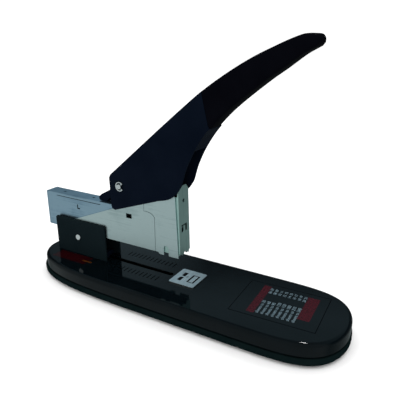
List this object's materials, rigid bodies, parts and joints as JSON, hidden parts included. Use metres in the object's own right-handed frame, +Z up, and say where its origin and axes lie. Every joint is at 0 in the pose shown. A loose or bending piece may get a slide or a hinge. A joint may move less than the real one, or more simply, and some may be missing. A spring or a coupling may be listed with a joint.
{
  "type": "heavy duty stapler",
  "caption": "Heavy-duty lever stapler: sprung head on a rear bracket, tall lever handle with coupled driver blade, rear-loading magazine and sliding paper stop.",
  "frame": {"origin": "middle of the base's length and width, on the surface that the feet stand on", "axes": "+X forwards along the base from the bracket past the anvil, +Y across the base to the far side, +Z up"},
  "size_m": [0.3045, 0.0874, 0.2229],
  "materials": {
    "gloss_black": "mirror-gloss black moulding",
    "satin_black": "satin black moulding",
    "black_steel": "black painted sheet steel",
    "grip_black": "dark plastic sleeve",
    "zinc_steel": "pale zinc-plated sheet steel",
    "blue_zinc": "bluish zinc-plated sheet steel",
    "bright_steel": "bright plated steel",
    "spring_steel": "drawn spring wire",
    "rubber": "black rubber"
  },
  "bodies": {
    "base": {"base_cover": "gloss_black", "base_tray": "satin_black", "base_chassis": "zinc_steel", "foot_pad_1": "rubber", "foot_pad_2": "rubber", "foot_pad_3": "rubber", "foot_pad_4": "rubber", "base_screw_1": "bright_steel", "base_screw_2": "bright_steel", "base_screw_3": "bright_steel", "base_screw_4": "bright_steel", "anvil_plate": "bright_steel", "anvil_screw_1": "bright_steel", "anvil_screw_2": "bright_steel", "rear_bracket": "black_steel", "bracket_rivet_1": "bright_steel", "bracket_rivet_2": "bright_steel", "bracket_rivet_3": "bright_steel", "bracket_rivet_4": "bright_steel", "pivot_pin": "bright_steel", "pivot_clip": "spring_steel", "head_spring": "spring_steel"},
    "stop": {"paper_stop": "black_steel", "stop_clamp": "zinc_steel"},
    "head": {"magazine_housing": "blue_zinc", "side_plate_near": "zinc_steel", "side_plate_far": "zinc_steel", "nose_cheek_near": "zinc_steel", "nose_cheek_far": "zinc_steel", "front_plate": "zinc_steel", "magazine_rail": "zinc_steel", "staple_strip": "bright_steel", "handle_spring": "spring_steel", "handle_pin": "bright_steel", "handle_pin_clip": "bright_steel"},
    "driver": {"driver_blade": "bright_steel", "driver_carrier": "bright_steel"},
    "handle": {"handle_lever": "black_steel", "handle_grip": "grip_black", "drive_lever": "black_steel", "drive_pin": "bright_steel"},
    "loader": {"rear_cap": "blue_zinc", "guide_rod": "bright_steel", "rod_head": "bright_steel", "pusher": "zinc_steel", "pusher_spring": "spring_steel"}
  },
  "joints": [
    {"name": "stop_slide", "type": "slide", "parent": "base", "child": "stop", "axis": [1, 0, 0], "range_m": [0, 0.062]},
    {"name": "head_pivot", "type": "hinge", "parent": "base", "child": "head", "pos_m": [-0.1059, 0, 0.0384], "axis": [0, 1, 0], "range_deg": [0, 10.2], "stiffness_Nm_per_rad": 6, "springref_deg": -22.92, "deforming": ["head_spring"]},
    {"name": "handle_pivot", "type": "hinge", "parent": "head", "child": "handle", "pos_m": [-0.0507, 0, 0.0984], "axis": [0, 1, 0], "range_deg": [0, 28], "stiffness_Nm_per_rad": 2.5, "springref_deg": -22.92, "deforming": ["handle_spring"]},
    {"name": "driver_slide", "type": "slide", "parent": "head", "child": "driver", "axis": [0.0209, 0, -0.9998], "range_m": [0, 0.02365]},
    {"name": "loader_slide", "type": "slide", "parent": "head", "child": "loader", "axis": [-1, 0, 0], "range_m": [0, 0.09]}
  ],
  "couplings": [
    {"joint": "driver_slide", "follows": "handle_pivot", "m_per_rad": 0.0484}
  ]
}
